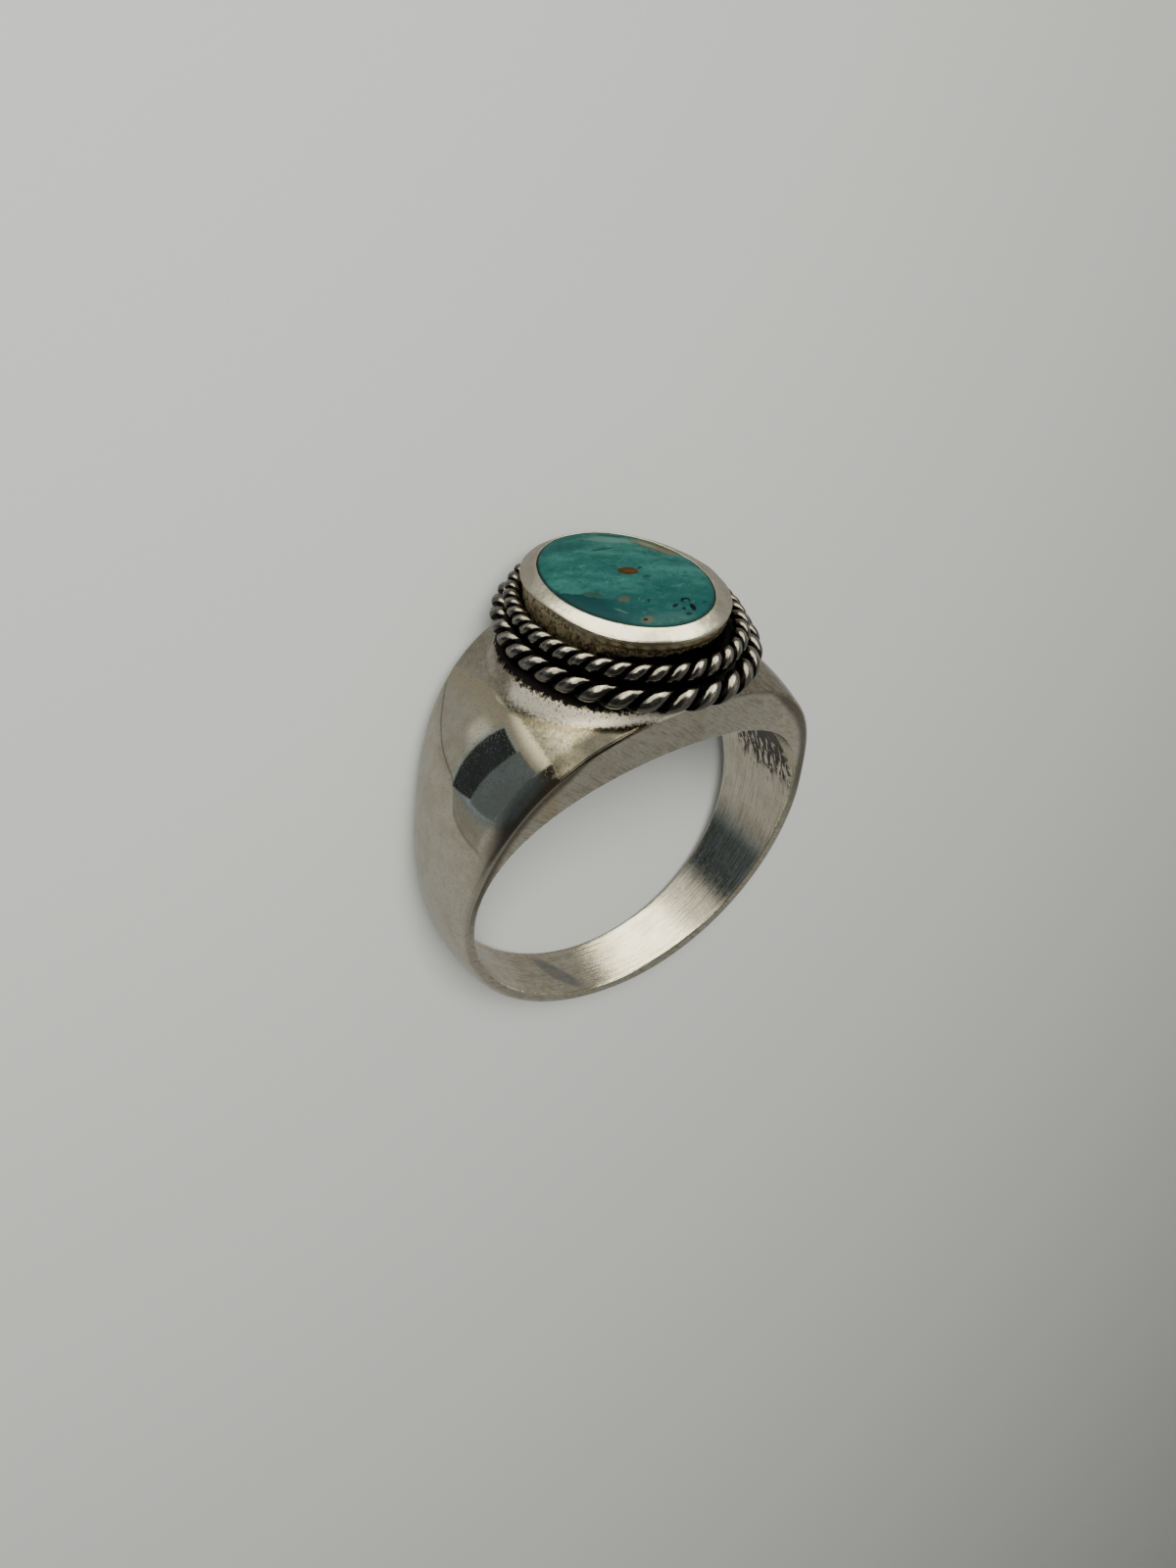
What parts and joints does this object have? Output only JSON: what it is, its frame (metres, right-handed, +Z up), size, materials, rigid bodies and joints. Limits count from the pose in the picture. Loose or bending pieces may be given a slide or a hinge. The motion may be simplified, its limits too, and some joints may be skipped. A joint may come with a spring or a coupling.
{
  "type": "turquoise ring",
  "caption": "Silver finger ring with a broad tapered shank, an oval turquoise in a plain bezel and two twisted wires round it, lying on its side.",
  "frame": {"origin": "middle of the ring's bounding box, on the surface that it lies on", "axes": "+Z up, with the front edge of the ring uppermost; -Y towards the stone, +Y towards the palm side; +X across the ring. The finger hole's axis leans from +Z towards +Y, because the head is longer than the palm side is wide."},
  "size_m": [0.0212, 0.026, 0.0143],
  "materials": {
    "silver": "satin",
    "turquoise": "gloss"
  },
  "bodies": {
    "root": {"silver_ring": "silver", "turquoise": "turquoise"}
  },
  "joints": []
}
